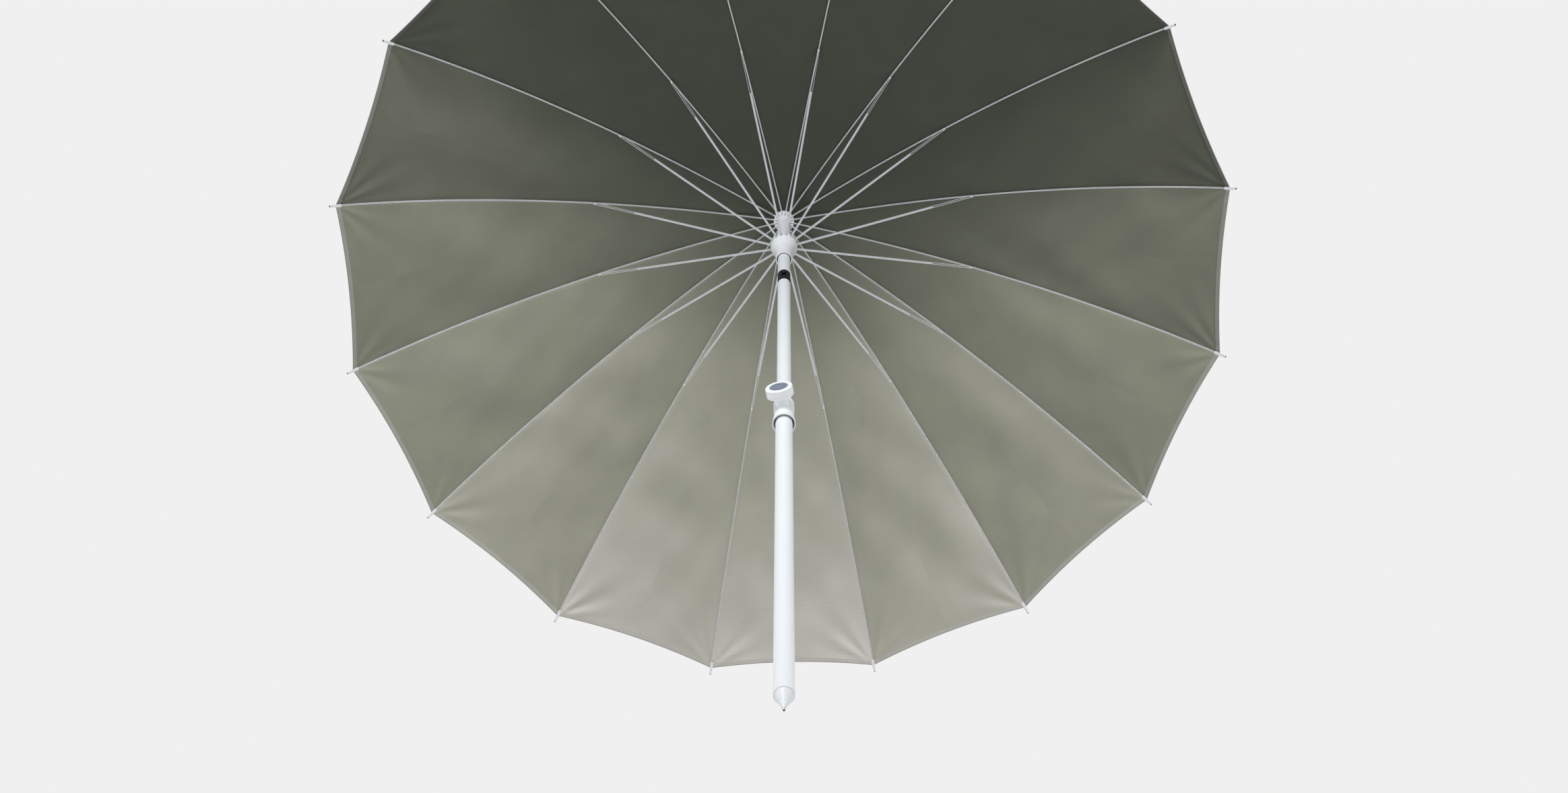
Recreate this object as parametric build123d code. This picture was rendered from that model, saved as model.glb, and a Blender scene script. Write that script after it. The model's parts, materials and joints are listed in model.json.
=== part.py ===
from build123d import *
import os
from math import asin, atan2, cos, degrees, hypot, radians, sin

# A sixteen-rib parasol on a two-part pole.
# Millimetres, +Z up the pole, origin at the point of the ground spike.

# ---------------------------------------------------------------- driving dimensions
RIB_COUNT = 16
RIB_STEP = 360.0 / RIB_COUNT
RIB_PHASE = RIB_STEP / 2
CANOPY_R = 1000.0            # reach of the rib tips from the pole's axis
RIM_Z = 1816.0               # height of the rib tips
GAP = 0.3                    # clearance between bodies that pass each other
FIT = 0.05                   # slack between pieces fixed in one another
THROUGH = 20.0               # half length of a cutter that goes right through the pole

POLE_R = 14.0                # middle and top pole, 28 mm tube
LOWER_R = 16.0               # lower pole, 32 mm tube
TUBE_WALL = 1.2
BORE_R = POLE_R + 0.35       # every bore that slides on the 28 mm tube
PLUG_R = POLE_R - TUBE_WALL - FIT
PLUG_L = 40.0                # the plugs reach this far into the tubes

SPIKE_H = 45.0               # cone below the lower pole
POINT_H = 6.0
POINT_R = 2.5
POINT_STEM_R = 1.5           # the steel point's stem is moulded into the cone
POINT_STEM_TOP = 20.0
SPIKE_LAND = 3.5             # straight part of the cone under the pole
SPIKE_PLUG_H = 60.0
LOWER_TOP = RIM_Z - 705.0
SWAGE_Z = 1020.0             # the lower pole is a little thinner above this, inside the collar
MIDDLE_BOTTOM = 900.0
TILT_BOTTOM = RIM_Z - 13.0
TILT_Z = RIM_Z + 15.0        # height of the tilt pin
TILT_TOP = RIM_Z + 47.5
CROWN_BOTTOM = RIM_Z + 431.0
CROWN_TOP = RIM_Z + 447.0

CLAMP_BOTTOM = RIM_Z - 790.0
CLAMP_TOP = RIM_Z - 695.0
KNOB_Z = RIM_Z - 729.0
KNOB_AZIMUTH = -100.0        # the knob points to the front, a little to the left
KNOB_BACK = 33.0             # distance of the knob's two faces from the pole's axis
KNOB_FACE = 52.0
KNOB_R = 26.0
KNOB_RECESS_R = 18.0
KNOB_RECESS = 2.0
STUD_R = 3.0
STUD_START = 19.0
STUD_END = 48.0
BOSS_R = 13.5                # the collar's boss for the stud
BOSS_END = 31.0
NUT_APOTHEM = 5.0
NUT_START = 24.0
NUT_POCKET_END = 29.2
SHOE_R = 5.0
SHOE_HOLE_R = SHOE_R + 0.2

CHEEK_ROUND = 19.0           # the cheeks are rounded about the tilt pin to this radius
CHEEK_H = 30.0               # straight part of the cheeks
SLOT_DEPTH = 9.6             # the slot for the tongue goes this far below the tilt pin
TONGUE_W = 8.8
TONGUE_R = 8.5
TILT_PIN_R = 3.0
TILT_PIN_HALF = 13.3
BUTTON_RISE = 13.0
BUTTON_R = 3.2
BUTTON_END = 13.4
TILT_LIMIT = 30.0            # degrees, towards +Y only

RIB_HINGE_R = 20.0           # radius of the crown wire
RIB_HINGE_Z = RIM_Z + 437.0
RIB_ARC_R = 1809.0           # the ribs are bowed to this radius
RIB_START_SLOPE = 6.8        # degrees below the horizontal at the crown
RIB_W = 2.6
RIB_H = 3.6
CHANNEL_WALL = 0.5
CAP_R = 3.25
CAP_L = 29.0
LUG_REACH = 447.0            # radius at which the stretcher meets the rib
LUG_DROP = 3.3
LUG_R = 3.0
LUG_L = 8.0
RIB_EYE_DISC_R = 2.2

RUNNER_HINGE_R = 25.0        # radius of the runner wire
RUNNER_HINGE_Z = RIM_Z + 245.0
RUNNER_BOTTOM = RIM_Z + 155.0
BELL_R = 30.75
BELL_TOP = RIM_Z + 270.0
SLEEVE_TOP = RIM_Z + 427.0
SLEEVE_R = 15.3
STRETCHER_W = 4.2
STRETCHER_H = 3.6
STRETCHER_WALL = 0.55
STRETCHER_EYE_DISC_R = 2.4
STRETCHER_END_R = 2.8
STRETCHER_WEB = 335.0        # the channel's roof ends here, and the rib passes between the walls beyond

WIRE_R = 0.8
EYE_R = 1.1
CATCH_ROOT_Z = RIM_Z + 291.0
CATCH_HALF_TOP = 11.9
CATCH_HALF_ROOT = 6.6
CATCH_CORNER_R = 6.0
SLIT = 1.4

FABRIC = 0.5
FABRIC_LIFT = 3.1            # fabric's inner face above the middle of a rib
FABRIC_SEAT = 0.4            # fabric's inner face above the crown, and its outer face below the finial
FABRIC_LEVELS = 11
FABRIC_HOLE_R = 9.0
FABRIC_FLAT_R = 27.0         # the fabric lies flat on the crown out to here
FABRIC_RIB_R = 130.0         # from here out it follows the ribs
FABRIC_HEM_R = 987.0

FINIAL_STEM_R = 6.9
FINIAL_FLANGE_R = 17.0
FINIAL_NECK_R = 6.2
FINIAL_BALL_R = 9.5

# the centre of the circle that a rib's middle line follows, in the rib's own vertical plane
ARC_X = RIB_HINGE_R - RIB_ARC_R * sin(radians(RIB_START_SLOPE))
ARC_Z = RIB_HINGE_Z - RIB_ARC_R * cos(radians(RIB_START_SLOPE))


# ---------------------------------------------------------------- helpers
def save(shape, node):
    """Write one sub-part, named as its node."""
    export_step(shape, os.path.join("parts", node + ".step"))


def turned(*outline):
    """A solid of revolution about the pole's axis, from (radius, height) corners."""
    return revolve(Plane.XZ * Polygon(*outline, align=None), Axis.Z, 360)


def tube(outer, inner, bottom, top):
    """A tube on the pole's axis."""
    return turned((inner, bottom), (outer, bottom), (outer, top), (inner, top))


def solid_round(radius, bottom, top):
    """A solid round bar on the pole's axis."""
    return Pos(0, 0, bottom) * Cylinder(radius, top - bottom, align=(Align.CENTER, Align.CENTER, Align.MIN))


def rod_along_x(radius, x0, x1, height):
    """A round rod along X at the given height on the pole's axis."""
    seat = Plane(origin=(x0, 0, height), z_dir=(1, 0, 0))
    return seat * Cylinder(radius, x1 - x0, align=(Align.CENTER, Align.CENTER, Align.MIN))


def on_knob_axis(radius, start, end):
    """A round rod along the knob's axis, from one distance from the pole's axis to another."""
    aim = radians(KNOB_AZIMUTH)
    out = Vector(cos(aim), sin(aim), 0)
    seat = Plane(origin=Vector(0, 0, KNOB_Z) + out * start, z_dir=out, x_dir=(0, 0, 1))
    return seat * Cylinder(radius, end - start, align=(Align.CENTER, Align.CENTER, Align.MIN))


def rib_slope(reach):
    """Angle below the horizontal, in radians, of a rib at a distance from the pole's axis."""
    return asin((reach - ARC_X) / RIB_ARC_R)


def above_rib(slope, lift):
    """The point (distance, height) over a rib's middle line where it has this slope."""
    radius = RIB_ARC_R + lift
    return ARC_X + radius * sin(slope), ARC_Z + radius * cos(slope)


def spread(shape, index):
    """Turn a piece built in the XZ plane to the azimuth of one rib."""
    return Rot(0, 0, RIB_PHASE + RIB_STEP * index) * shape


def notches(width, start, end, bottom, top):
    """One radial notch for every rib."""
    cutter = Box(end - start, width, top - bottom, align=(Align.MIN, Align.CENTER, Align.MIN))
    return [spread(Pos(start, 0, bottom) * cutter, k) for k in range(RIB_COUNT)]


# ---------------------------------------------------------------- lower pole and clamp
def spike_point():
    return turned((0, 0), (1.6, 0), (POINT_R, POINT_H), (POINT_STEM_R, POINT_H),
                  (POINT_STEM_R, POINT_STEM_TOP), (0, POINT_STEM_TOP))


def spike():
    """The cone, and its plug in the lower pole."""
    plug_r = LOWER_R - TUBE_WALL - FIT
    plug_top = SPIKE_H + SPIKE_PLUG_H
    return turned((POINT_STEM_R, POINT_H), (POINT_R, POINT_H), (LOWER_R - 1.6, SPIKE_H - 5),
                  (LOWER_R, SPIKE_H - SPIKE_LAND), (LOWER_R, SPIKE_H), (plug_r, SPIKE_H),
                  (plug_r, plug_top - 3), (plug_r - 2, plug_top), (0, plug_top), (0, POINT_STEM_TOP),
                  (POINT_STEM_R, POINT_STEM_TOP))


def lower_pole():
    inner = LOWER_R - TUBE_WALL
    body = turned((inner, SPIKE_H), (LOWER_R, SPIKE_H), (LOWER_R, SWAGE_Z), (LOWER_R - 0.1, SWAGE_Z + 1),
                  (LOWER_R - 0.1, LOWER_TOP), (inner, LOWER_TOP))
    return body - on_knob_axis(SHOE_HOLE_R, 10, 20)


def clamp_collar():
    """A sleeve on the lower pole with a flared skirt, and a boss that holds the nut."""
    grip = LOWER_R - FIT
    outline = turned((20, CLAMP_BOTTOM), (22, CLAMP_BOTTOM), (21.4, CLAMP_BOTTOM + 9),
                     (18.7, CLAMP_BOTTOM + 38), (18.6, CLAMP_BOTTOM + 46), (19.6, CLAMP_BOTTOM + 62),
                     (19.6, CLAMP_TOP - 3),
                     (18.4, CLAMP_TOP), (BORE_R, CLAMP_TOP), (BORE_R, LOWER_TOP), (grip, LOWER_TOP),
                     (grip, CLAMP_BOTTOM + 24), (20, CLAMP_BOTTOM + 14))
    boss = on_knob_axis(BOSS_R, 15, BOSS_END) - Pos(0, 0, KNOB_Z) * Cylinder(LOWER_R + 1, 4 * BOSS_R)
    body = outline + boss
    body -= on_knob_axis(SHOE_HOLE_R, 10, NUT_START)
    body -= nut_blank(NUT_START, NUT_POCKET_END, FIT)
    body -= on_knob_axis(STUD_R + 0.4, NUT_POCKET_END - 1, BOSS_END + 1)
    return body


def nut_blank(start, end, ease):
    """The hexagon of the nut, a little larger for its pocket."""
    aim = radians(KNOB_AZIMUTH)
    out = Vector(cos(aim), sin(aim), 0)
    seat = Plane(origin=Vector(0, 0, KNOB_Z) + out * start, z_dir=out, x_dir=(0, 0, 1))
    return extrude(seat * RegularPolygon(NUT_APOTHEM + ease, 6, major_radius=False), end - start)


def clamp_nut():
    """A captive nut in the collar's boss."""
    return nut_blank(NUT_START + 0.1, NUT_POCKET_END - 0.1, 0) - on_knob_axis(STUD_R + 0.08, 20, 35)


def clamp_shoe():
    """The pressure pad: its inner face follows the 28 mm tube."""
    tube_space = Pos(0, 0, KNOB_Z) * Cylinder(POLE_R + GAP, 4 * SHOE_R)
    return on_knob_axis(SHOE_R, POLE_R - 2, STUD_START) - tube_space


def clamp_stud():
    return on_knob_axis(STUD_R, STUD_START, STUD_END)


def clamp_knob():
    """A round grip with a groove near its back and a recess for its disc."""
    grip = on_knob_axis(KNOB_R, KNOB_BACK, KNOB_FACE)
    rims = grip.edges().filter_by(GeomType.CIRCLE)
    grip = chamfer(rims, 1.4)
    waist = on_knob_axis(KNOB_R + 2, KNOB_BACK + 4, KNOB_BACK + 6.5)
    waist -= on_knob_axis(KNOB_R - 0.8, KNOB_BACK, KNOB_FACE)
    grip -= waist
    grip -= on_knob_axis(KNOB_RECESS_R, KNOB_FACE - KNOB_RECESS, KNOB_FACE + 1)
    return grip - on_knob_axis(STUD_R, KNOB_BACK - 1, STUD_END)


def knob_disc():
    """Let into the knob's face, with two raised rings."""
    disc = on_knob_axis(KNOB_RECESS_R - 0.1, KNOB_FACE - KNOB_RECESS, KNOB_FACE - 0.9)
    for ring in (14.5, 9.0):
        raised = on_knob_axis(ring, KNOB_FACE - 1.0, KNOB_FACE - 0.4)
        disc += raised - on_knob_axis(ring - 1.6, KNOB_FACE - 1.0, KNOB_FACE)
    return disc


# ---------------------------------------------------------------- upper poles and tilt joint
def middle_pole():
    return tube(POLE_R, POLE_R - TUBE_WALL, MIDDLE_BOTTOM, TILT_BOTTOM)


def guide_bush():
    """Keeps the middle pole centred in the lower pole."""
    flange = LOWER_R - TUBE_WALL - 0.06
    bore = 8
    return turned((bore, MIDDLE_BOTTOM - 10), (flange, MIDDLE_BOTTOM - 10), (flange, MIDDLE_BOTTOM),
                  (PLUG_R, MIDDLE_BOTTOM), (PLUG_R, MIDDLE_BOTTOM + 30), (bore, MIDDLE_BOTTOM + 30))


def tilt_fork():
    """Two cheeks on a plug, with a curved slot in one cheek for the button."""
    blank = solid_round(POLE_R, TILT_BOTTOM, TILT_BOTTOM + 2 * PLUG_L)
    body = solid_round(POLE_R, TILT_BOTTOM, TILT_BOTTOM + CHEEK_H)
    body += blank & rod_along_x(CHEEK_ROUND, -THROUGH, THROUGH, TILT_Z)
    slot = Box(TONGUE_W + 2 * GAP, 2 * THROUGH, 60, align=(Align.CENTER, Align.CENTER, Align.MIN))
    body -= Pos(0, 0, TILT_Z - SLOT_DEPTH) * slot
    body -= rod_along_x(TILT_PIN_R, -THROUGH, THROUGH, TILT_Z)
    path = CenterArc((0, 0), BUTTON_RISE, 90 - TILT_LIMIT, TILT_LIMIT)
    groove = SlotArc(arc=path, height=2 * (BUTTON_R + GAP))
    body -= Plane(origin=(0, 0, TILT_Z), x_dir=(0, 1, 0), z_dir=(1, 0, 0)) * extrude(groove, THROUGH)
    return body + solid_round(PLUG_R, TILT_BOTTOM - PLUG_L, TILT_BOTTOM)


def tilt_tongue():
    """The blade between the cheeks, the collar above it and the plug in the top pole."""
    blade = Box(TONGUE_W, 2 * TONGUE_R, TILT_TOP - TILT_Z, align=(Align.CENTER, Align.CENTER, Align.MIN))
    body = Pos(0, 0, TILT_Z) * blade + rod_along_x(TONGUE_R, -TONGUE_W / 2, TONGUE_W / 2, TILT_Z)
    collar = solid_round(POLE_R, TILT_Z + 5, TILT_TOP)
    body += collar - rod_along_x(CHEEK_ROUND + GAP, -THROUGH, THROUGH, TILT_Z)
    body += solid_round(PLUG_R, TILT_TOP, TILT_TOP + PLUG_L)
    body -= rod_along_x(TILT_PIN_R + FIT, -THROUGH, THROUGH, TILT_Z)
    return body - rod_along_x(BUTTON_R + FIT, -THROUGH, THROUGH, TILT_Z + BUTTON_RISE)


def tilt_pin():
    return rod_along_x(TILT_PIN_R, -TILT_PIN_HALF, TILT_PIN_HALF, TILT_Z)


def tilt_button():
    button = rod_along_x(BUTTON_R, 0, BUTTON_END, TILT_Z + BUTTON_RISE)
    return chamfer(button.edges().filter_by(GeomType.CIRCLE).sort_by(Axis.X)[-1], 0.6)


def top_pole():
    return tube(POLE_R, POLE_R - TUBE_WALL, TILT_TOP, CROWN_TOP - 4)


# ---------------------------------------------------------------- crown
def crown():
    """A hub on the pole's end, notched for the ribs, with the wire's groove through its teeth."""
    body = turned((POLE_R, CROWN_BOTTOM), (23.4, CROWN_BOTTOM), (24, CROWN_BOTTOM + 0.8),
                  (24, CROWN_TOP - 1), (23, CROWN_TOP), (7, CROWN_TOP), (7, CROWN_TOP - 4),
                  (POLE_R, CROWN_TOP - 4))
    body -= notches(RIB_W + 1.0, 16.6, 26, CROWN_BOTTOM - 1, CROWN_TOP - 3.5)
    return body - Pos(0, 0, RIB_HINGE_Z) * Torus(RIB_HINGE_R, WIRE_R + FIT)


def crown_wire():
    """The ring that every rib is threaded on."""
    return Pos(0, 0, RIB_HINGE_Z) * Torus(RIB_HINGE_R, WIRE_R)


def finial():
    """A stem through the crown, a flange that holds the fabric down, and a ball."""
    foot = CROWN_TOP - 30
    seat = CROWN_TOP + FABRIC + 2 * FABRIC_SEAT
    neck = seat + 14
    stem = turned((0, foot), (FINIAL_STEM_R, foot), (FINIAL_STEM_R, seat), (FINIAL_FLANGE_R, seat),
                  (FINIAL_FLANGE_R, seat + 1.5), (12, seat + 5), (7, seat + 8), (FINIAL_NECK_R, neck),
                  (0, neck))
    return stem + Pos(0, 0, seat + 21) * Sphere(FINIAL_BALL_R)


# ---------------------------------------------------------------- runner
def runner_bell():
    """Collar, flaring bell and rim, notched for the stretchers."""
    body = turned((16.6, RUNNER_BOTTOM), (18.25, RUNNER_BOTTOM), (18.6, RUNNER_BOTTOM + 24),
                  (22.0, RUNNER_BOTTOM + 52), (29.6, RUNNER_BOTTOM + 80), (BELL_R, RUNNER_BOTTOM + 85),
                  (BELL_R, BELL_TOP - 8), (29.2, BELL_TOP - 3), (26, BELL_TOP), (SLEEVE_R, BELL_TOP),
                  (SLEEVE_R, BELL_TOP - 10), (BORE_R, BELL_TOP - 10), (BORE_R, RUNNER_BOTTOM + 40),
                  (16.6, RUNNER_BOTTOM + 36))
    body -= notches(STRETCHER_W + 2 * GAP, 21.4, 33, RUNNER_HINGE_Z - 6, BELL_TOP + 1)
    return body - Pos(0, 0, RUNNER_HINGE_Z) * Torus(RUNNER_HINGE_R, WIRE_R + FIT)


def runner_wire():
    """The ring that every stretcher is threaded on."""
    return Pos(0, 0, RUNNER_HINGE_Z) * Torus(RUNNER_HINGE_R, WIRE_R)


def catch_outline(margin, top):
    """The tapered tab seen from the front, widened by a margin, as a block through the front wall."""
    root = CATCH_ROOT_Z - (GAP if margin else 0)
    half_top = CATCH_HALF_TOP + margin
    half_root = CATCH_HALF_ROOT + margin
    corners = [(-half_root, root), (half_root, root), (half_top, top), (-half_top, top)]
    face = Plane.XZ * Polygon(*corners, align=None)
    return extrude(face, 30)


def runner_sleeve():
    """A tube on the bell with a tapered window in front and behind, open at the top."""
    body = tube(SLEEVE_R, BORE_R, BELL_TOP - 10, SLEEVE_TOP)
    window = catch_outline(SLIT, SLEEVE_TOP + 20)
    return body - window - Rot(0, 0, 180) * window


def catch(turn):
    """A spring tab cut out of the sleeve, with rounded top corners."""
    wall = tube(SLEEVE_R, BORE_R, CATCH_ROOT_Z, SLEEVE_TOP)
    tab = catch_outline(0, SLEEVE_TOP)
    upright = [e for e in tab.edges().filter_by(Axis.Y) if e.center().Z > SLEEVE_TOP - 1]
    return Rot(0, 0, turn) * (wall & fillet(upright, CATCH_CORNER_R))


# ---------------------------------------------------------------- ribs and stretchers
def rib():
    """A bowed channel with an eye at the crown, a lug for its stretcher and a cap on its end."""
    start = radians(RIB_START_SLOPE) + 6.0 / RIB_ARC_R
    end = rib_slope(CANOPY_R)
    last = end - 0.35 * CAP_L / RIB_ARC_R
    out = RIB_ARC_R + RIB_H / 2
    low = RIB_ARC_R - RIB_H / 2
    half = RIB_W / 2
    inner = half - CHANNEL_WALL
    profile = Polygon((-half, low), (-half, out), (half, out), (half, low), (inner, low),
                      (inner, out - CHANNEL_WALL), (-inner, out - CHANNEL_WALL), (-inner, low), align=None)
    section = Plane(origin=(ARC_X, 0, ARC_Z), x_dir=(0, 1, 0), z_dir=(cos(start), 0, -sin(start)))
    body = revolve(section * profile, Axis((ARC_X, 0, ARC_Z), (0, 1, 0)), degrees(last - start))
    body += rib_eye() + rib_lug()
    cap_x, cap_z = above_rib(end, -1.5)
    inward = Vector(-cos(end), 0, sin(end))
    seat = Plane(origin=(cap_x, 0, cap_z), z_dir=inward, x_dir=(0, 1, 0))
    cap = seat * Cylinder(CAP_R, CAP_L, align=(Align.CENTER, Align.CENTER, Align.MIN))
    return body + fillet(cap.edges().filter_by(GeomType.CIRCLE), 1.2)


def rib_eye():
    """The flat end that turns on the crown wire."""
    hinge = Pos(RIB_HINGE_R, 0, RIB_HINGE_Z) * Rot(0, RIB_START_SLOPE, 0)
    strip = Box(10, RIB_W, RIB_H, align=(Align.MIN, Align.CENTER, Align.CENTER))
    disc = Rot(90, 0, 0) * Cylinder(RIB_EYE_DISC_R, RIB_W)
    return hinge * (strip + disc - Rot(90, 0, 0) * Cylinder(EYE_R, RIB_W + 2))


def lug_point():
    """Where the stretcher's end meets the lug under the rib, as (distance, height)."""
    at = above_rib(rib_slope(LUG_REACH), 0)
    return at[0], at[1] - LUG_DROP


def rib_lug():
    """The small plate under the rib that the stretcher's fork is riveted to."""
    x, z = lug_point()
    plate = Box(LUG_L, RIB_W, LUG_DROP, align=(Align.CENTER, Align.CENTER, Align.MIN))
    disc = Rot(90, 0, 0) * Cylinder(LUG_R, RIB_W)
    return Pos(x, 0, z) * (plate + disc - Rot(90, 0, 0) * Cylinder(EYE_R, RIB_W + 2))


def stretcher():
    """A channel, open below, on the runner wire. Its walls run on as a fork beside the rib."""
    x, z = lug_point()
    length = hypot(x - RUNNER_HINGE_R, z - RUNNER_HINGE_Z)
    rise = degrees(atan2(z - RUNNER_HINGE_Z, x - RUNNER_HINGE_R))
    bar = Box(length, STRETCHER_W, STRETCHER_H, align=(Align.MIN, Align.CENTER, Align.CENTER))
    eye = Rot(90, 0, 0) * Cylinder(STRETCHER_EYE_DISC_R, STRETCHER_W)
    bar += eye + Pos(length, 0, 0) * Rot(90, 0, 0) * Cylinder(STRETCHER_END_R, STRETCHER_W)
    gap = STRETCHER_W - 2 * STRETCHER_WALL
    under = Box(STRETCHER_WEB + 5, gap, 20, align=(Align.MIN, Align.CENTER, Align.MAX))
    bar -= Pos(-5, 0, STRETCHER_H / 2 - STRETCHER_WALL) * under
    bar -= Pos(STRETCHER_WEB, 0, 0) * Box(length, gap, 20, align=(Align.MIN, Align.CENTER, Align.CENTER))
    bar -= Rot(90, 0, 0) * Cylinder(EYE_R, STRETCHER_W + 2)
    bar -= Pos(length, 0, 0) * Rot(90, 0, 0) * Cylinder(EYE_R, STRETCHER_W + 2)
    return Pos(RUNNER_HINGE_R, 0, RUNNER_HINGE_Z) * Rot(0, -rise, 0) * bar


# ---------------------------------------------------------------- canopy
def canopy_levels():
    """Corners (distance, height) of the inner and the outer skin, from the crown to the hem."""
    seat = CROWN_TOP + FABRIC_SEAT
    inner = [(FABRIC_HOLE_R, seat), (FABRIC_FLAT_R, seat)]
    outer = [(FABRIC_HOLE_R, seat + FABRIC), (FABRIC_FLAT_R, seat + FABRIC)]
    first, last = rib_slope(FABRIC_RIB_R), rib_slope(FABRIC_HEM_R)
    for n in range(FABRIC_LEVELS):
        slope = first + (last - first) * n / (FABRIC_LEVELS - 1)
        inner.append(above_rib(slope, FABRIC_LIFT))
        outer.append(above_rib(slope, FABRIC_LIFT + FABRIC))
    return inner, outer


def corner(level, index):
    """A corner of the sixteen-sided canopy on one rib."""
    azimuth = radians(RIB_PHASE + RIB_STEP * index)
    return Vector(level[0] * cos(azimuth), level[0] * sin(azimuth), level[1])


def canopy():
    """A closed shell of flat panels between the ribs."""
    inner, outer = canopy_levels()
    loop = inner + outer[::-1]
    faces = []
    for k in range(RIB_COUNT):
        for a, b in zip(loop, loop[1:] + loop[:1]):
            quad = [corner(a, k), corner(a, k + 1), corner(b, k + 1), corner(b, k)]
            faces.append(Face(Wire.make_polygon(quad, close=True)))
    return Solid(Shell(faces))


# ---------------------------------------------------------------- all nodes
def main():
    os.makedirs("parts", exist_ok=True)
    single = [spike_point, spike, lower_pole, clamp_collar, clamp_nut, clamp_shoe, clamp_stud, clamp_knob,
              knob_disc, middle_pole, guide_bush, tilt_fork, tilt_tongue, tilt_pin, tilt_button, top_pole,
              crown, crown_wire, finial, runner_bell, runner_wire, runner_sleeve, canopy]
    for build in single:
        save(build(), build.__name__)
    save(catch(0), "catch_front")
    save(catch(180), "catch_back")
    one_rib, one_stretcher = rib(), stretcher()
    for k in range(RIB_COUNT):
        save(spread(one_rib, k), f"rib_{k + 1:02d}")
        save(spread(one_stretcher, k), f"stretcher_{k + 1:02d}")


main()
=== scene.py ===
"""A sixteen-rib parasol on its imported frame: cloth panels, a top patch, rivets, tip plugs, finishes
and a pale stage."""

import json
from math import atan2, cos, hypot, pi, radians, sin

import bpy
import numpy as np
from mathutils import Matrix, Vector

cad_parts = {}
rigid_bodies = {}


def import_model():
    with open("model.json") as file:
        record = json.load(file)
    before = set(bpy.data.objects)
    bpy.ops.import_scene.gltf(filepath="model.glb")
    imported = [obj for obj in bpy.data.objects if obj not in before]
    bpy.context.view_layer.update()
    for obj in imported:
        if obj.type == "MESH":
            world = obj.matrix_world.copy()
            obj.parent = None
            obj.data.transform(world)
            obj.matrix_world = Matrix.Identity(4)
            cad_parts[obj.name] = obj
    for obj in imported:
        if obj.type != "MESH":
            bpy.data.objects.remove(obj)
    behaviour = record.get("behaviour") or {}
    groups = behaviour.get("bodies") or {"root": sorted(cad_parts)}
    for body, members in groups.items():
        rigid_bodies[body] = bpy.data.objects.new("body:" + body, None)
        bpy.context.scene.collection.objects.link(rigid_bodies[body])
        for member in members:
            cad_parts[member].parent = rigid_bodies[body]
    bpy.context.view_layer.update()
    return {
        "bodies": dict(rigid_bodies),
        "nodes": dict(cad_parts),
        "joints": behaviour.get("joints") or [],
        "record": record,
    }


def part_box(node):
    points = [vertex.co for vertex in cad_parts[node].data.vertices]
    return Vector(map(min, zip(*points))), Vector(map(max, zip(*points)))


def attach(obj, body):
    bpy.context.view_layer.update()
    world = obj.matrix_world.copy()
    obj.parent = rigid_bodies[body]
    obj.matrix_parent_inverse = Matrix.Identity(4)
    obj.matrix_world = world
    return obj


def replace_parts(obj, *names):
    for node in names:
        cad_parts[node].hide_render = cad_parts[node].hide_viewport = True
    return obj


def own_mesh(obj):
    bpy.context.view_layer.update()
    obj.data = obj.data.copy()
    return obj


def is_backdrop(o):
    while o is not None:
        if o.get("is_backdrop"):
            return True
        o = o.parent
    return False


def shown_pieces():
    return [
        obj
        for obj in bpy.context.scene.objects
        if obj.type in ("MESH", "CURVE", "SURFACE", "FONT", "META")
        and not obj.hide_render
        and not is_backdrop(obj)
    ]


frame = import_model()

bl_info = {
    "name": "Parasol",
    "version": (1, 0, 0),
    "blender": (4, 5, 0),
    "location": "3D View > Sidebar > Parasol",
    "description": "Makes the cloth, the small fittings and the finishes of a folding parasol",
    "category": "Object",
}

JOINTS = {joint["name"]: joint for joint in frame["joints"]}
RIBS = [name for name in sorted(frame["bodies"]) if name.startswith("rib_")]


# ---------------------------------------------------------------- sizes read from the frame
def joint_place(name):
    """Distance from the pole's axis, azimuth and height of a hinge, in metres and radians."""
    x, y, z = JOINTS[name]["pos_m"]
    return hypot(x, y), atan2(y, x), z


HINGE_REACH, _, HINGE_HEIGHT = joint_place("rib_hinge_01")
RIB_AZIMUTH = {rib: joint_place(rib.replace("rib_", "rib_hinge_"))[1] for rib in RIBS}
RIB_STEP = 2 * pi / len(RIBS)
_, CROWN_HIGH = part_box("crown")

# ---------------------------------------------------------------- sizes in metres
RIB_BOW = 1.809                # the radius that every rib is bent to
RIB_START_SLOPE = radians(6.8)
TIP_REACH = 1.0
CORNER_REACH = 0.987           # the cloth's corners lie on the tip caps
CROWN_EDGE = 0.130             # inside this the cloth leaves the ribs and rises over the crown
ARC_REACH = HINGE_REACH - RIB_BOW * sin(RIB_START_SLOPE)
ARC_HEIGHT = HINGE_HEIGHT - RIB_BOW * cos(RIB_START_SLOPE)
LUG_REACH = 0.447              # the stretchers meet the ribs this far from the pole's axis
LUG_DROP = 0.0033              # and this far under a rib's middle line
CAP_DROP = 0.0015              # the tip caps sit this far under a rib's middle line

CLOTH_START = CROWN_HIGH[0] + 0.003
CLOTH_TOP = CROWN_HIGH[2] + 0.0007
CLOTH_START_FALL = 0.10        # slope of the cloth where it leaves the crown
HEM_ZONE = 0.72                # share of a panel's length after which its rows lie closer together
HEM_BEND_R = 0.0006            # radius of the hem's fold
SEAM_LAYER = 0.0003            # the seam is one cloth thicker
SEAM_EASE = 0.0012             # width over which the seam's edge rises
CREASE_NEAR = 0.05             # distances from the tip at which the creases are deepest
CREASE_FAR = 0.16
CREASE_FAR_SHARE = 0.35
ROLLS = 16                     # number of plane waves in the cloth's slow rolls
ROLL_LENGTHS = (0.07, 0.26)

PATCH_HOLE_R = 0.0095          # hole for the finial
PATCH_R = 0.046
PATCH_LIFT = 0.0006            # height of the patch over the panels
PATCH_RINGS, PATCH_SIDES = 24, 96

RIVET_LENGTH = 0.0044          # between the two heads
RIVET_SHAFT_R = 0.0009
RIVET_HEAD_R = 0.0019
RIVET_HEAD_RISE = 0.0006
RIVET_HEAD_EDGE = 0.0002       # thickness of a head at its rim
# size of the low dark dome at each cap's end, which is painted shade in place of the shade inside the
# cap's open end
TIP_SHADE_R = 0.0023
TIP_SHADE_RISE = 0.0006
FITTING_SIDES = 20

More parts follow.
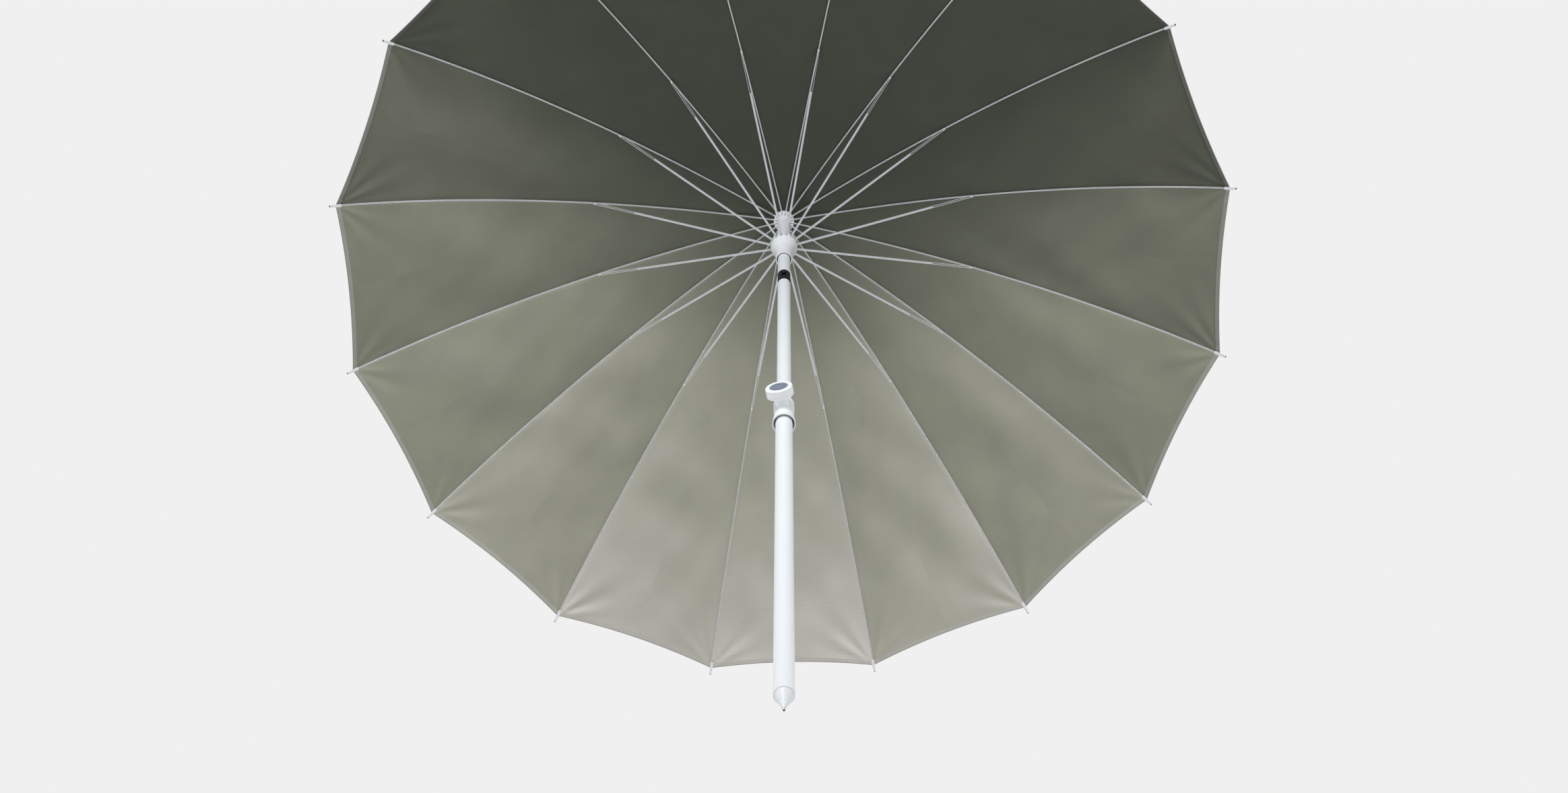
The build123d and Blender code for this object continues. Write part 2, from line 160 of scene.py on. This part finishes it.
# ---------------------------------------------------------------- camera
CAMERA_AZIMUTH = radians(-88.83)
CAMERA_DISTANCE = 1.5704       # from the pole's axis
CAMERA_HEIGHT = -2.635
CAMERA_AIM = (0, 0, 1.161)
CAMERA_LENS = 49.26            # millimetres, on a 36 mm sensor


def linear(code):
    """An sRGB hex colour as linear red, green and blue."""
    srgb = np.array([int(code[i:i + 2], 16) for i in (1, 3, 5)]) / 255
    return tuple(np.where(srgb <= 0.04045, srgb / 12.92, ((srgb + 0.055) / 1.055) ** 2.4))


# ---------------------------------------------------------------- what a user may change
class ParasolCloth(bpy.types.PropertyGroup):
    inside: bpy.props.FloatVectorProperty(
        name="Inside", description="Colour of the coated side that faces down", subtype="COLOR",
        size=3, min=0, max=1, default=linear("#3b4133"))
    outside: bpy.props.FloatVectorProperty(
        name="Outside", description="Colour of the dyed side that faces the sun", subtype="COLOR",
        size=3, min=0, max=1, default=linear("#3f453b"))
    thickness: bpy.props.FloatProperty(
        name="Thickness", description="Thickness of the coated cloth", unit="LENGTH",
        default=0.0003, min=0.0001)
    lift: bpy.props.FloatProperty(
        name="Lift", description="Height of the cloth over a rib's middle line", unit="LENGTH",
        default=0.0022, min=0.0019)
    scallop: bpy.props.FloatProperty(
        name="Scallop", description="How far the hem runs in between two ribs", unit="LENGTH",
        default=0.0085, min=0)
    sag: bpy.props.FloatProperty(
        name="Sag", description="How far a panel is pulled in between two ribs", unit="LENGTH",
        default=0.005, min=0)
    hem: bpy.props.FloatProperty(
        name="Hem", description="Width of the folded hem", unit="LENGTH", default=0.009, min=0.002)
    seam: bpy.props.FloatProperty(
        name="Seam", description="Width of the felled seam over each rib", unit="LENGTH",
        default=0.010, min=0)
    crease: bpy.props.FloatProperty(
        name="Creases", description="Height of the pulled creases that fan out from each tip",
        unit="LENGTH", default=0.0006, min=0)
    billow: bpy.props.FloatProperty(
        name="Billow", description="Height of the slow rolls in the cloth", unit="LENGTH",
        default=0.0014, min=0)


class ParasolFinish(bpy.types.PropertyGroup):
    paint: bpy.props.FloatVectorProperty(
        name="Paint", description="Powder coat on the steel", subtype="COLOR", size=3, min=0, max=1,
        default=linear("#f3f6fa"))
    plastic: bpy.props.FloatVectorProperty(
        name="White plastic", description="Moulded fittings", subtype="COLOR",
        size=3, min=0, max=1, default=linear("#f3f6f9"))
    joint: bpy.props.FloatVectorProperty(
        name="Tilt joint", description="Black nylon of the tilt joint", subtype="COLOR",
        size=3, min=0, max=1, default=linear("#15191e"))
    disc: bpy.props.FloatVectorProperty(
        name="Knob disc", description="Grey disc in the clamp knob", subtype="COLOR",
        size=3, min=0, max=1, default=linear("#7d8796"))


class ParasolStage(bpy.types.PropertyGroup):
    backdrop: bpy.props.FloatProperty(
        name="Backdrop", description="Brightness of the pale backdrop", default=0.871, min=0)
    floor: bpy.props.FloatProperty(
        name="Floor", description="Radius of the floor", unit="LENGTH", default=9.0, min=1)
    key: bpy.props.FloatProperty(
        name="Key light", description="Power of the low light on the cloth, in watts",
        default=1900.0, min=0)
    fill: bpy.props.FloatProperty(
        name="Fill light", description="Power of the light on the pole and fittings, in watts",
        default=40.0, min=0)


# ---------------------------------------------------------------- mesh helpers
def mesh_piece(name, points, faces, material, smooth=True):
    """A mesh object from an array of points and an array of faces."""
    mesh = bpy.data.meshes.new(name)
    mesh.from_pydata(points.reshape(-1, 3).tolist(), [], faces.tolist())
    mesh.polygons.foreach_set("use_smooth", np.full(len(mesh.polygons), smooth))
    mesh.update()
    piece = bpy.data.objects.new(name, mesh)
    bpy.context.scene.collection.objects.link(piece)
    for each in material if isinstance(material, (list, tuple)) else [material]:
        mesh.materials.append(each)
    return piece


def grid_faces(rows, columns, closed_columns=False):
    """Quads of a grid of points; with closed_columns the last column joins the first."""
    across = np.arange(columns if closed_columns else columns - 1)
    down = np.arange(rows - 1)[:, None]
    a = down * columns + across
    b = down * columns + (across + 1) % columns
    return np.stack([a, b, b + columns, a + columns], -1).reshape(-1, 4)


def lay_uv(piece, uv):
    """Writes one UV pair for each point, in metres of cloth."""
    mesh = piece.data
    index = np.empty(len(mesh.loops), int)
    mesh.loops.foreach_get("vertex_index", index)
    layer = mesh.uv_layers.new(name="cloth")
    layer.data.foreach_set("uv", uv.reshape(-1, 2)[index].ravel())


def sharpen(piece, on_side):
    """Splits the shading along the edges whose two points are both marked, so a cut edge doesn't
    round it off."""
    mesh = piece.data
    ends = np.empty(len(mesh.edges) * 2, int)
    mesh.edges.foreach_get("vertices", ends)
    mesh.edges.foreach_set("use_edge_sharp", on_side.ravel()[ends].reshape(-1, 2).all(1))


def lathe(radii, heights, sides=32):
    """Points of a turned shape: each profile point (radius, height) goes round the Z axis."""
    turn = np.linspace(0, 2 * pi, sides, endpoint=False)
    ring = np.stack([np.cos(turn), np.sin(turn), np.zeros(sides)], -1)
    rise = np.stack([np.zeros_like(heights), np.zeros_like(heights), heights], -1)
    return np.asarray(radii)[:, None, None] * ring + rise[:, None, :]


def place(points, origin, along, across):
    """Moves points from a local frame, with Z as along and X as across, to their place."""
    z = np.asarray(along, float)
    x = np.asarray(across, float)
    y = np.cross(z, x)
    return points[..., :1] * x + points[..., 1:2] * y + points[..., 2:] * z + np.asarray(origin, float)


def add(tree, kind, inputs=None, **settings):
    """Adds one node. Settings are its attributes, and an input is a constant or a node's output."""
    node = tree.nodes.new(kind)
    for key, value in settings.items():
        setattr(node, key, value)
    for socket, value in (inputs or {}).items():
        if isinstance(value, bpy.types.NodeSocket):
            tree.links.new(value, node.inputs[socket])
        else:
            node.inputs[socket].default_value = value
    return node


def blank(name):
    """A material with an empty node tree, and its output node."""
    material = bpy.data.materials.new(name)
    material.use_nodes = True
    tree = material.node_tree
    tree.nodes.clear()
    return material, tree, add(tree, "ShaderNodeOutputMaterial")


def rgba(colour):
    """A colour with full opacity."""
    return (*colour, 1.0)


def directions(azimuth):
    """Unit directions away from the pole's axis and across it, at an azimuth."""
    return (cos(azimuth), sin(azimuth), 0), (-sin(azimuth), cos(azimuth), 0)


# ---------------------------------------------------------------- materials
def coated_polyester(name, colour, roughness, sheen):
    """Woven polyester with a thin acrylic coat: matt, with fine threads and a slight mottle where it
    was stretched."""
    material, tree, output = blank(name)
    cloth = add(tree, "ShaderNodeUVMap", uv_map="cloth")
    # threads lie about 0.3 mm apart; they are drawn 2 mm apart, which is the finest that shows
    period = 0.002
    bands = 2 * pi / (20 * period)
    warp = add(tree, "ShaderNodeTexWave", {
        "Vector": cloth.outputs[0], "Scale": bands}, bands_direction="X")
    weft = add(tree, "ShaderNodeTexWave", {
        "Vector": cloth.outputs[0], "Scale": bands}, bands_direction="Y")
    weave = add(tree, "ShaderNodeMath", {
        0: warp.outputs["Fac"], 1: weft.outputs["Fac"]}, operation="MULTIPLY")
    # the mottle's patches are about 110 mm across, and the thick places in the threads about 6 mm
    mottle = add(tree, "ShaderNodeTexNoise", {
        "Vector": cloth.outputs[0], "Scale": 9.0, "Detail": 4.0})
    slub = add(tree, "ShaderNodeTexNoise", {
        "Vector": cloth.outputs[0], "Scale": 160.0, "Detail": 2.0})
    shade = add(tree, "ShaderNodeMapRange", {
        "Value": mottle.outputs["Fac"], "From Min": 0.3, "From Max": 0.7,
        "To Min": 0.93, "To Max": 1.07})
    grain = add(tree, "ShaderNodeMapRange", {
        "Value": slub.outputs["Fac"], "From Min": 0.3, "From Max": 0.7,
        "To Min": 0.97, "To Max": 1.03})
    both = add(tree, "ShaderNodeMath", {
        0: shade.outputs[0], 1: grain.outputs[0]}, operation="MULTIPLY")
    tone = add(tree, "ShaderNodeVectorMath", {
        0: tuple(colour), "Scale": both.outputs[0]}, operation="SCALE")
    bump = add(tree, "ShaderNodeBump", {
        "Height": weave.outputs[0], "Distance": 0.0002, "Strength": 0.35})
    shader = add(tree, "ShaderNodeBsdfPrincipled", {
        "Base Color": tone.outputs[0], "Roughness": roughness, "IOR": 1.5, "Sheen Weight": sheen,
        "Sheen Roughness": 0.5, "Normal": bump.outputs[0]})
    tree.links.new(shader.outputs[0], output.inputs["Surface"])
    return material


def powder_coat(colour):
    """Baked polyester powder on steel: satin, with a faint orange peel about 2 mm across."""
    material, tree, output = blank("White powder-coated steel")
    place_on = add(tree, "ShaderNodeTexCoord")
    peel = add(tree, "ShaderNodeTexNoise", {
        "Vector": place_on.outputs["Object"], "Scale": 450.0, "Detail": 1.0})
    # the coat's gloss varies over patches about 70 mm across
    dust = add(tree, "ShaderNodeTexNoise", {
        "Vector": place_on.outputs["Object"], "Scale": 14.0, "Detail": 4.0})
    rough = add(tree, "ShaderNodeMapRange", {
        "Value": dust.outputs["Fac"], "To Min": 0.26, "To Max": 0.42})
    bump = add(tree, "ShaderNodeBump", {
        "Height": peel.outputs["Fac"], "Distance": 0.0001, "Strength": 0.25})
    shader = add(tree, "ShaderNodeBsdfPrincipled", {
        "Base Color": rgba(colour), "Roughness": rough.outputs[0], "IOR": 1.5, "Coat Weight": 0.2,
        "Coat Roughness": 0.25, "Normal": bump.outputs[0]})
    tree.links.new(shader.outputs[0], output.inputs["Surface"])
    return material


def moulded_plastic(name, colour, roughness, grit):
    """Injection-moulded plastic with a fine spark-eroded texture of the given grit, in metres. Its gloss
    varies over patches about 30 mm across, as handling leaves it."""
    material, tree, output = blank(name)
    place_on = add(tree, "ShaderNodeTexCoord")
    texture = add(tree, "ShaderNodeTexNoise", {
        "Vector": place_on.outputs["Object"], "Scale": 1 / grit, "Detail": 2.0})
    wear = add(tree, "ShaderNodeTexNoise", {
        "Vector": place_on.outputs["Object"], "Scale": 30.0, "Detail": 3.0})
    rough = add(tree, "ShaderNodeMapRange", {
        "Value": wear.outputs["Fac"], "To Min": roughness - 0.07, "To Max": roughness + 0.07})
    bump = add(tree, "ShaderNodeBump", {
        "Height": texture.outputs["Fac"], "Distance": 0.0001, "Strength": 0.3})
    shader = add(tree, "ShaderNodeBsdfPrincipled", {
        "Base Color": rgba(colour), "Roughness": rough.outputs[0], "IOR": 1.49,
        "Normal": bump.outputs[0]})
    tree.links.new(shader.outputs[0], output.inputs["Surface"])
    return material


def zinc_plated_steel():
    """Zinc-plated wire and turned steel: bright grey, with a fine unevenness about 1 mm across in the
    gloss."""
    material, tree, output = blank("Zinc-plated steel")
    place_on = add(tree, "ShaderNodeTexCoord")
    streak = add(tree, "ShaderNodeTexNoise", {
        "Vector": place_on.outputs["Object"], "Scale": 900.0, "Detail": 2.0})
    rough = add(tree, "ShaderNodeMapRange", {
        "Value": streak.outputs["Fac"], "To Min": 0.24, "To Max": 0.42})
    shader = add(tree, "ShaderNodeBsdfPrincipled", {
        "Base Color": rgba(linear("#c3c6c8")), "Metallic": 1.0, "Roughness": rough.outputs[0]})
    tree.links.new(shader.outputs[0], output.inputs["Surface"])
    return material


def pale_floor():
    """Matt studio floor, seen only from above: from below it lets the view through."""
    material, tree, output = blank("Matt studio floor")
    paint = add(tree, "ShaderNodeBsdfDiffuse", {"Color": rgba(linear("#e8e8e8"))})
    clear = add(tree, "ShaderNodeBsdfTransparent")
    side = add(tree, "ShaderNodeNewGeometry")
    mix = add(tree, "ShaderNodeMixShader", {
        0: side.outputs["Backfacing"], 1: paint.outputs[0], 2: clear.outputs[0]})
    tree.links.new(mix.outputs[0], output.inputs["Surface"])
    return material


# ---------------------------------------------------------------- cloth
def rib_slope(reach):
    """Angle below the horizontal of a rib at a distance from the pole's axis, whose sine is the distance
    from the arc's centre divided by its radius."""
    return np.arcsin((reach - ARC_REACH) / RIB_BOW)


def ridge(reach, lift):
    """Distance and height of the cloth over a rib: the rib's circle, lifted, and near the crown a cubic
    that leaves the circle at its own slope and reaches the crown nearly level."""
    slope = rib_slope(reach)
    circle = ARC_HEIGHT + (RIB_BOW + lift) * np.cos(slope)
    on_rib = np.stack([reach + lift * np.sin(slope), circle], -1)
    edge = rib_slope(CROWN_EDGE)
    foot = ARC_HEIGHT + (RIB_BOW + lift) * cos(edge)
    span = CROWN_EDGE - CLOTH_START
    t = np.clip((reach - CLOTH_START) / span, 0, 1)
    height = (2 * t ** 3 - 3 * t ** 2 + 1) * CLOTH_TOP + (3 * t ** 2 - 2 * t ** 3) * foot
    height += ((t ** 3 - 2 * t ** 2 + t) * span * -CLOTH_START_FALL
               + (t ** 3 - t ** 2) * span * -np.tan(edge))
    over_crown = np.stack([reach, height], -1)
    return np.where((reach < CROWN_EDGE)[..., None], over_crown, on_rib)


def panel_grid():
    """Rows from crown to hem, closer together at the hem, and columns from the middle of one bay to the
    middle of the next, closer together at the rib."""
    rows = np.concatenate([np.linspace(0, HEM_ZONE, 60, endpoint=False), np.linspace(HEM_ZONE, 1, 48)])
    half = np.linspace(0, 1, 33) ** 1.25
    columns = np.concatenate([-half[:0:-1], half])
    return rows, columns


def rolling(outward, sideways, azimuth):
    """Slow rolls in the cloth: a sum of plane waves over the ground plan, the same for every panel so
    that neighbours meet."""
    spread = np.random.default_rng(41)
    heading, phase = spread.uniform(0, 2 * pi, (2, ROLLS))
    length = spread.uniform(*ROLL_LENGTHS, ROLLS)
    x = outward * cos(azimuth) - sideways * sin(azimuth)
    y = outward * sin(azimuth) + sideways * cos(azimuth)
    across = x[..., None] * np.cos(heading) + y[..., None] * np.sin(heading)
    return (np.sin(2 * pi * across / length + phase) * length / length.mean()).sum(-1) / ROLLS ** 0.5


def fading(apart, peak, height):
    """A hump over distance: height * d / peak * exp(1 - d / peak), which is highest at the peak."""
    return height * (apart / peak) * np.exp(1 - apart / peak)


def panel_points(azimuth, cloth, seed):
    """Points of one panel centred on a rib, and their place in the flat cloth.

    Between two ribs the cloth is a straight chord, pulled in by sag * (1 - x^2), where x is 1 over a rib
    and 0 midway, and its hem runs in by scallop * (1 - x^2). Creases fan out from the tip as a sine of
    the angle about the corner, fading with distance, and the seam over the rib is one cloth thicker."""
    rows, columns = panel_grid()
    between = 1 - np.abs(columns)
    hem = CORNER_REACH - cloth.scallop * (1 - between ** 2)
    reach = CLOTH_START + rows[:, None] * (hem - CLOTH_START)
    profile = ridge(reach, cloth.lift)
    share = np.abs(columns) / 2
    outward = profile[..., 0] * (1 - share + share * cos(RIB_STEP))
    sideways = profile[..., 0] * np.sign(columns) * share * sin(RIB_STEP)
    height = profile[..., 1]

    steps = np.hypot(np.diff(profile[..., 0], axis=0), np.diff(height, axis=0))
    along = np.concatenate([np.zeros((1, len(columns))), np.cumsum(steps, 0)])
    back = along[-1:, len(columns) // 2][..., None] - along
    apart = np.hypot(back, sideways)
    angle = np.arctan2(np.abs(sideways), np.maximum(back, 1e-4))
    spread = np.random.default_rng(seed)
    count = spread.uniform(8.5, 11.5)
    phase = spread.uniform(-0.5, 0.5, 2)
    weight = spread.uniform(0.8, 1.2)
    side = np.where(columns < 0, phase[0], phase[1])
    fan = np.sin(angle * count + side) * np.sin(2 * np.clip(angle, 0, pi / 2))
    fade = fading(apart, CREASE_NEAR, 1) + fading(apart, CREASE_FAR, CREASE_FAR_SHARE)
    window = np.clip(1 - columns ** 2, 0, 1) ** 1.5
    crease = cloth.crease * weight * fan * fade * window
    billow = cloth.billow * rolling(outward, sideways, azimuth) * (1 - between ** 4)
    billow = billow * np.sin(pi * rows[:, None] ** 2)
    pull = cloth.sag * (1 - between ** 2) * np.sin(pi * rows[:, None] ** 1.1)
    inside_seam = cloth.seam / 2 + SEAM_EASE / 2 - np.abs(sideways)
    thick = SEAM_LAYER * np.clip(inside_seam / SEAM_EASE, 0, 1)
    offset = crease + billow - pull + thick

    slope = rib_slope(np.maximum(reach, CROWN_EDGE))
    tilt = np.cos(np.abs(columns) * RIB_STEP / 2)
    outward = outward + offset * np.sin(slope) * tilt
    height = height + offset * np.cos(slope)
    local = np.stack([outward, sideways, height], -1)
    local = np.concatenate([local, hem_fold(local, cloth)])
    cut = np.stack([np.broadcast_to(sideways, along.shape), along], -1)
    folds = len(local) - len(cut)
    turned_under = np.arange(1, folds + 1)[:, None, None] * [0, cloth.hem / folds]
    return turned(local, azimuth), np.concatenate([cut, cut[-1:] + turned_under])


def hem_fold(local, cloth):
    """The hem: the cloth turns under in a half circle and runs back by the hem's width."""
    edge = local[-1]
    run = edge - local[-3]
    run /= np.linalg.norm(run, axis=-1, keepdims=True)
    beside = np.gradient(edge, axis=0)
    under = np.cross(run, beside)
    under /= np.linalg.norm(under, axis=-1, keepdims=True)
    under *= -np.sign(under[..., 2:])
    bend = [edge + run * HEM_BEND_R * sin(a) + under * HEM_BEND_R * (1 - cos(a))
            for a in (pi / 4, pi / 2, 3 * pi / 4, pi)]
    flat = [edge - run * cloth.hem * part + under * 2 * HEM_BEND_R for part in (0.12, 0.5, 1.0)]
    return np.stack(bend + flat)


def turned(local, azimuth):
    """Turns (outward, sideways, height) points to a rib's azimuth."""
    c, s = cos(azimuth), sin(azimuth)
    return np.stack([local[..., 0] * c - local[..., 1] * s, local[..., 0] * s + local[..., 1] * c,
                     local[..., 2]], -1)


def thicken(piece, thickness, offset, material_offset=0):
    """Gives a sheet its thickness."""
    wall = piece.modifiers.new("Thickness", "SOLIDIFY")
    wall.thickness = thickness
    wall.offset = offset
    wall.material_offset = material_offset
    wall.material_offset_rim = material_offset


def make_panel(rib, cloth, inner, outer):
    """One cloth panel over a rib, from the middle of one bay to the middle of the next."""
    number = int(rib[-2:])
    azimuth = RIB_AZIMUTH[rib]
    points, cut = panel_points(azimuth, cloth, number)
    rows, columns = points.shape[:2]
    panel = mesh_piece(f"cloth_panel_{number:02d}", points, grid_faces(rows, columns), [inner, outer])
    lay_uv(panel, cut)
    side = np.zeros((rows, columns), bool)
    side[:, [0, -1]] = True
    side[[0, -1]] = True
    sharpen(panel, side)
    thicken(panel, cloth.thickness, -1.0, material_offset=1)
    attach(panel, rib)
    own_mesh(panel)
    return panel


class PARASOL_OT_canopy(bpy.types.Operator):
    """Sixteen cloth panels sewn along the ribs, each with a folded hem"""
    bl_idname = "parasol.canopy"
    bl_label = "Canopy"

    def execute(self, context):
        cloth = context.scene.parasol_cloth
        inner = coated_polyester("Coated polyester, inside", cloth.inside, 0.55, 0.05)
        outer = coated_polyester("Dyed polyester, outside", cloth.outside, 0.72, 0.25)
        for rib in RIBS:
            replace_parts(make_panel(rib, cloth, inner, outer), "canopy")
        return {"FINISHED"}


class PARASOL_OT_top_patch(bpy.types.Operator):
    """The round patch that closes the cloth over the crown, under the finial"""
    bl_idname = "parasol.top_patch"
    bl_label = "Top patch"

    def execute(self, context):
        cloth = context.scene.parasol_cloth
        outer = bpy.data.materials["Dyed polyester, outside"]
        inner = bpy.data.materials["Coated polyester, inside"]
        reach = np.linspace(PATCH_HOLE_R, PATCH_R, PATCH_RINGS)
        height = ridge(np.maximum(reach, CLOTH_START), cloth.lift)[..., 1] + PATCH_LIFT
        points = lathe(reach, height, PATCH_SIDES)
        faces = grid_faces(PATCH_RINGS, PATCH_SIDES, True)[:, ::-1]
        patch = mesh_piece("cloth_top_patch", points, faces, [outer, inner])
        lay_uv(patch, points[..., :2])
        thicken(patch, cloth.thickness, -1.0, material_offset=1)
        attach(patch, "top")
        return {"FINISHED"}


# ---------------------------------------------------------------- small fittings
def rivet_points():
    """A shaft along Z between two low domed heads, whose height falls with the square of the radius."""
    out = np.linspace(0, 1, 5)
    dome_r = RIVET_HEAD_R * out
    dome_h = RIVET_LENGTH / 2 + RIVET_HEAD_RISE * (1 - out ** 2)
    under = RIVET_LENGTH / 2 - RIVET_HEAD_EDGE
    shaft_r = [RIVET_HEAD_R, RIVET_SHAFT_R, RIVET_SHAFT_R, RIVET_HEAD_R]
    radii = np.concatenate([dome_r, shaft_r, dome_r[::-1]])
    heights = np.concatenate([dome_h, [under, under, -under, -under], -dome_h[::-1]])
    return lathe(np.maximum(radii, 1e-5), heights, FITTING_SIDES)


class PARASOL_OT_lug_rivets(bpy.types.Operator):
    """The rivets that join each stretcher's fork to its rib"""
    bl_idname = "parasol.lug_rivets"
    bl_label = "Lug rivets"

    def execute(self, context):
        steel = bpy.data.materials["Zinc-plated steel"]
        slope = rib_slope(LUG_REACH)
        height = ARC_HEIGHT + RIB_BOW * cos(slope) - LUG_DROP
        shape = rivet_points()
        faces = grid_faces(*shape.shape[:2], True)[:, ::-1]
        for rib in RIBS:
            outward, across = directions(RIB_AZIMUTH[rib])
            at = np.array([LUG_REACH * outward[0], LUG_REACH * outward[1], height])
            points = place(shape, at, across, outward)
            rivet = mesh_piece("lug_rivet_" + rib[-2:], points, faces, steel)
            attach(rivet, rib.replace("rib", "stretcher"))
        return {"FINISHED"}


class PARASOL_OT_painted_tip_shade(bpy.types.Operator):
    """A low dark dome in the end of each rib's cap: painted shade, standing in for the shade inside the
    cap's open end
    """
    bl_idname = "parasol.tip_plugs"
    bl_label = "Painted tip shade"

    def execute(self, context):
        # the black of the joint's nylon is used here as painted shade for the inside of each cap's open
        # end
        nylon = bpy.data.materials["Black nylon"]
        slope = rib_slope(TIP_REACH)
        turn = np.linspace(0, 1, 6) * pi / 2
        shape = lathe(np.maximum(TIP_SHADE_R * np.sin(turn), 1e-5), TIP_SHADE_RISE * np.cos(turn), FITTING_SIDES)
        faces = grid_faces(*shape.shape[:2], True)[:, ::-1]
        radius = RIB_BOW - CAP_DROP
        up = np.array([0, 0, 1])
        for rib in RIBS:
            outward, across = directions(RIB_AZIMUTH[rib])
            outward = np.array(outward)
            end = outward * (ARC_REACH + radius * sin(slope)) + up * (ARC_HEIGHT + radius * cos(slope))
            along = outward * cos(slope) - up * sin(slope)
            points = place(shape, end, along, across)
            shade_dome = mesh_piece("tip_plug_" + rib[-2:], points, faces, nylon)
            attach(shade_dome, rib)
        return {"FINISHED"}


# ---------------------------------------------------------------- finishes of the CAD pieces
class PARASOL_OT_finishes(bpy.types.Operator):
    """Powder coat, moulded plastic and plated steel for the frame's own pieces"""
    bl_idname = "parasol.finishes"
    bl_label = "Finishes"

    def execute(self, context):
        finish = context.scene.parasol_finish
        by_slot = {
            "white_steel": powder_coat(finish.paint),
            "white_plastic": moulded_plastic("White ABS", finish.plastic, 0.38, 0.0012),
            "black_plastic": moulded_plastic("Black nylon", finish.joint, 0.62, 0.0010),
            "grey_plastic": moulded_plastic("Grey textured ABS", finish.disc, 0.6, 0.0016),
            "plain_steel": zinc_plated_steel(),
            "canopy_cloth": None,
        }
        for part in frame["record"]["subparts"]:
            material = by_slot[part["material_slot"]]
            if material:
                mesh = frame["nodes"][part["node"]].data
                mesh.materials.clear()
                mesh.materials.append(material)
        return {"FINISHED"}


# ---------------------------------------------------------------- stage
def aim(thing, target):
    """Turns a light or camera to look at a point, upright."""
    thing.rotation_euler = (Vector(target) - thing.location).to_track_quat("-Z", "Y").to_euler()


def soft_light(name, place_at, target, size, power, colour=(1, 1, 1)):
    """A rectangular area light. Size is its width and height in metres, and power is in watts."""
    lamp = bpy.data.lights.new(name, "AREA")
    lamp.color = colour
    lamp.shape = "RECTANGLE"
    lamp.size, lamp.size_y = size
    lamp.energy = power
    light = bpy.data.objects.new(name, lamp)
    bpy.context.scene.collection.objects.link(light)
    light.location = place_at
    aim(light, target)
    return light


class PARASOL_OT_stage(bpy.types.Operator):
    """Pale floor and backdrop, soft lights, and the camera low in front, looking up into the parasol"""
    bl_idname = "parasol.stage"
    bl_label = "Stage"

    def execute(self, context):
        stage = context.scene.parasol_stage
        scene = context.scene
        floor = mesh_piece("floor", lathe(np.array([1e-4, stage.floor]), np.zeros(2), 96),
                           grid_faces(2, 96, True)[:, ::-1], pale_floor(), smooth=False)
        floor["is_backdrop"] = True
        world = bpy.data.worlds.new("Pale backdrop")
        scene.world = world
        world.use_nodes = True
        world.node_tree.nodes["Background"].inputs["Color"].default_value = (*[stage.backdrop] * 3, 1)
        self.light_front(stage)
        soft_light("overhead", place_at=(0.0, -0.5, 5.2), target=(0, 0, 1.5), size=(3.5, 3.5), power=60)
        self.add_camera(scene)
        scene.view_settings.view_transform = "Standard"
        return {"FINISHED"}

    def light_front(self, stage):
        """A strong low light in front that only the cloth takes, and a weaker one for the pole and its
        fittings. The ribs and stretchers take neither, and don't shade the cloth from the low light."""
        cloth, fittings = [bpy.data.collections.new(name) for name in ("cloth", "fittings")]
        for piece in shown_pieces():
            kind = piece.name.split("_")[0]
            if kind == "cloth":
                cloth.objects.link(piece)
            elif kind not in ("rib", "stretcher"):
                fittings.objects.link(piece)
        key = soft_light(
            "low_front", place_at=(0.6, -4.8, 0.45), target=(0, 0.35, 2.0), size=(2.6, 0.7),
            power=stage.key, colour=(0.98, 0.85, 0.96))
        key.light_linking.receiver_collection = cloth
        key.light_linking.blocker_collection = cloth
        fill = soft_light(
            "front_fill", place_at=(-0.7, -2.6, 1.5), target=(0, 0, 1.9), size=(1.4, 1.4),
            power=stage.fill, colour=(0.93, 0.97, 1.0))
        fill.light_linking.receiver_collection = fittings
        fill.light_linking.blocker_collection = fittings

    def add_camera(self, scene):
        lens = bpy.data.cameras.new("camera")
        lens.sensor_width = 36.0
        lens.lens = CAMERA_LENS
        lens.clip_end = 100.0
        camera = bpy.data.objects.new("camera", lens)
        scene.collection.objects.link(camera)
        outward, _ = directions(CAMERA_AZIMUTH)
        camera.location = (CAMERA_DISTANCE * outward[0], CAMERA_DISTANCE * outward[1], CAMERA_HEIGHT)
        aim(camera, CAMERA_AIM)
        scene.camera = camera


# ---------------------------------------------------------------- add-on
STEPS = [
    PARASOL_OT_finishes,
    PARASOL_OT_canopy,
    PARASOL_OT_top_patch,
    PARASOL_OT_lug_rivets,
    PARASOL_OT_painted_tip_shade,
    PARASOL_OT_stage,
]
SETTINGS = {
    "parasol_cloth": ParasolCloth,
    "parasol_finish": ParasolFinish,
    "parasol_stage": ParasolStage,
}


class PARASOL_PT_panel(bpy.types.Panel):
    """The sizes, the colours and a button for each group of pieces"""
    bl_label = "Parasol"
    bl_idname = "PARASOL_PT_panel"
    bl_space_type = "VIEW_3D"
    bl_region_type = "UI"
    bl_category = "Parasol"

    def draw(self, context):
        for name, group in SETTINGS.items():
            box = self.layout.box()
            for setting in group.__annotations__:
                box.prop(getattr(context.scene, name), setting)
        for step in STEPS:
            self.layout.operator(step.bl_idname)


def register():
    for each in (*SETTINGS.values(), *STEPS, PARASOL_PT_panel):
        bpy.utils.register_class(each)
    for name, group in SETTINGS.items():
        setattr(bpy.types.Scene, name, bpy.props.PointerProperty(type=group))


def unregister():
    for name in SETTINGS:
        delattr(bpy.types.Scene, name)
    for each in (PARASOL_PT_panel, *reversed(STEPS), *SETTINGS.values()):
        bpy.utils.unregister_class(each)


def main():
    """Makes every piece."""
    register()
    for step in STEPS:
        group, name = step.bl_idname.split(".")
        getattr(getattr(bpy.ops, group), name)()


if __name__ == "__main__":
    main()
